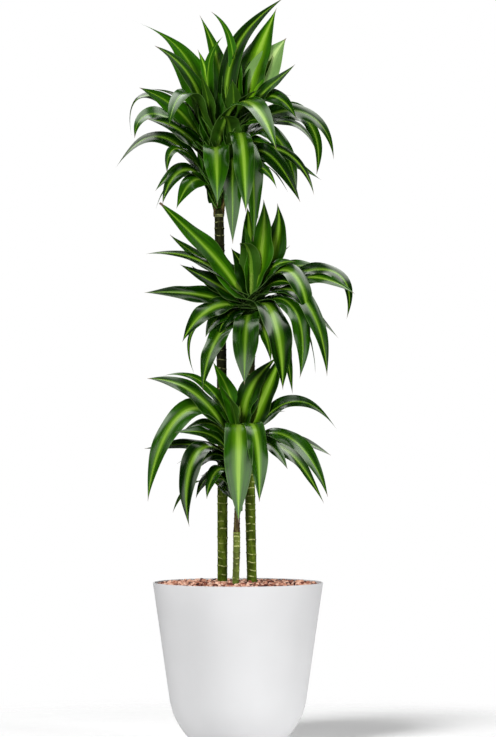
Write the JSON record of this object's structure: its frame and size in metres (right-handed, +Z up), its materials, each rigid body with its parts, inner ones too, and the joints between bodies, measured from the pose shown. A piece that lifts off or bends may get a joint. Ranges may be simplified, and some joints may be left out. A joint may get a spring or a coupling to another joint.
{
  "type": "potted dracaena",
  "caption": "Potted dracaena: ringed woody canes of stepped height with heads of arching striped strap leaves, in a tapered round matte planter filled with clay pebbles.",
  "frame": {"origin": "middle of the pot's flat base, on the surface that it stands on; the foliage is lopsided, so the box's middle lies elsewhere", "axes": "+Z up along the pot's axis and the canes, +X to the right and -Y towards the side that the plant shows in front"},
  "size_m": [0.564, 0.407, 1.7732],
  "materials": {
    "planter": "matte",
    "clay_pebbles": "matte",
    "cane": "matte",
    "leaf": "satin"
  },
  "bodies": {
    "root": {"pot": "planter", "clay_pebble_bed": "clay_pebbles", "tall_cane": "cane", "middle_cane": "cane", "short_cane": "cane", "tall_cane_leaves": "leaf", "middle_cane_leaves": "leaf", "short_cane_leaves": "leaf"}
  },
  "joints": []
}
